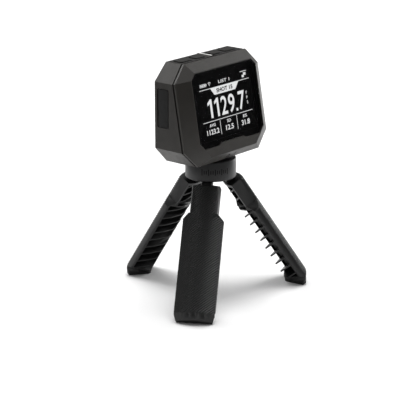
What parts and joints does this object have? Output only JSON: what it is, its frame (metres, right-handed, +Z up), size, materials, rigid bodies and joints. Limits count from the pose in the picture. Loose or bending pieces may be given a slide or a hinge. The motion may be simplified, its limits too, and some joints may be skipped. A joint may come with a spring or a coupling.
{
  "type": "handheld radar chronograph on a folding mini tripod",
  "caption": "Compact radar speed display with a tilted screen and top keys, on a turning collar over a folding mini tripod with ribbed legs.",
  "frame": {"origin": "centre of the bounding box's base, on the floor between the three feet", "axes": "+Z up, the display faces -Y, +X to the display's right as it is read"},
  "size_m": [0.1134, 0.1018, 0.148],
  "materials": {
    "head_plastic": "fine moulded grain",
    "keypad_rubber": "matte silicone",
    "soft_rubber": "matte rubber",
    "display_glass": "polished, dark border",
    "lcd_face": "smooth display film",
    "inner_plastic": "plain moulded",
    "circuit_board": "solder mask",
    "battery_wrap": "smooth pouch foil",
    "sight_white": "plain",
    "leg_plastic": "fine diagonal grooves",
    "collar_plastic": "satin",
    "hub_plastic": "plain moulded",
    "steel": "machined",
    "insert_brass": "knurled",
    "washer_nylon": "smooth"
  },
  "bodies": {
    "tripod_base": {"tripod_hub": "hub_plastic", "leg_hinge_pin_a": "steel", "leg_hinge_pin_b": "steel", "leg_hinge_pin_c": "steel"},
    "pan_head": {"pan_collar": "collar_plastic", "mounting_stud": "steel", "top_pad": "soft_rubber", "friction_washer": "washer_nylon", "retaining_nut": "steel"},
    "display_unit": {"battery": "battery_wrap", "display_bezel": "head_plastic", "display_carrier": "inner_plastic", "display_lens": "display_glass", "housing_screw_1": "steel", "housing_screw_2": "steel", "housing_screw_3": "steel", "housing_screw_4": "steel", "keypad_board": "circuit_board", "keypad_left": "keypad_rubber", "keypad_right": "keypad_rubber", "lcd_panel": "lcd_face", "main_board": "circuit_board", "port_board": "circuit_board", "port_cover_pin": "steel", "radar_board": "circuit_board", "radar_housing": "head_plastic", "radome_cover": "head_plastic", "seam_gasket": "soft_rubber", "sight_line": "sight_white", "tact_switch_1": "inner_plastic", "tact_switch_2": "inner_plastic", "tact_switch_3": "inner_plastic", "tact_switch_4": "inner_plastic", "tripod_insert": "insert_brass", "usb_c_port": "steel"},
    "port_door": {"usb_port_cover": "keypad_rubber"},
    "power_button": {"power_key": "keypad_rubber"},
    "back_button": {"back_key": "keypad_rubber"},
    "select_button": {"select_key": "keypad_rubber"},
    "scroll_button": {"scroll_key": "keypad_rubber"},
    "fold_leg_a": {"leg_a": "leg_plastic", "foot_pad_a": "soft_rubber"},
    "fold_leg_b": {"leg_b": "leg_plastic", "foot_pad_b": "soft_rubber"},
    "fold_leg_c": {"leg_c": "leg_plastic", "foot_pad_c": "soft_rubber"}
  },
  "joints": [
    {"name": "pan_turn", "type": "hinge", "parent": "tripod_base", "child": "pan_head", "pos_m": [0, -0.01113, 0.0737], "axis": [0, 0, 1], "continuous": true},
    {"name": "display_unscrew", "type": "hinge", "parent": "pan_head", "child": "display_unit", "pos_m": [0, -0.01113, 0.0872], "axis": [0, 0, 1], "range_deg": [0, 360]},
    {"name": "port_door_open", "type": "hinge", "parent": "display_unit", "child": "port_door", "pos_m": [-0.0374, -0.00383, 0.12185], "axis": [0, 0, -1], "range_deg": [0, 95]},
    {"name": "power_press", "type": "slide", "parent": "display_unit", "child": "power_button", "axis": [0, 0, -1], "range_m": [0, 0.0005], "stiffness_N_per_m": 800},
    {"name": "back_press", "type": "slide", "parent": "display_unit", "child": "back_button", "axis": [0, 0, -1], "range_m": [0, 0.0005], "stiffness_N_per_m": 800},
    {"name": "select_press", "type": "slide", "parent": "display_unit", "child": "select_button", "axis": [0, 0, -1], "range_m": [0, 0.0005], "stiffness_N_per_m": 800},
    {"name": "scroll_press", "type": "slide", "parent": "display_unit", "child": "scroll_button", "axis": [0, 0, -1], "range_m": [0, 0.0005], "stiffness_N_per_m": 800},
    {"name": "leg_a_fold", "type": "hinge", "parent": "tripod_base", "child": "fold_leg_a", "pos_m": [-0.00693, -0.01513, 0.0765], "axis": [0.5, -0.866, 0], "range_deg": [0, 33.6]},
    {"name": "leg_b_fold", "type": "hinge", "parent": "tripod_base", "child": "fold_leg_b", "pos_m": [0.00693, -0.01513, 0.0765], "axis": [0.5, 0.866, 0], "range_deg": [0, 33.6]},
    {"name": "leg_c_fold", "type": "hinge", "parent": "tripod_base", "child": "fold_leg_c", "pos_m": [0, -0.00313, 0.0765], "axis": [-1, 0, 0], "range_deg": [0, 33.6]}
  ]
}
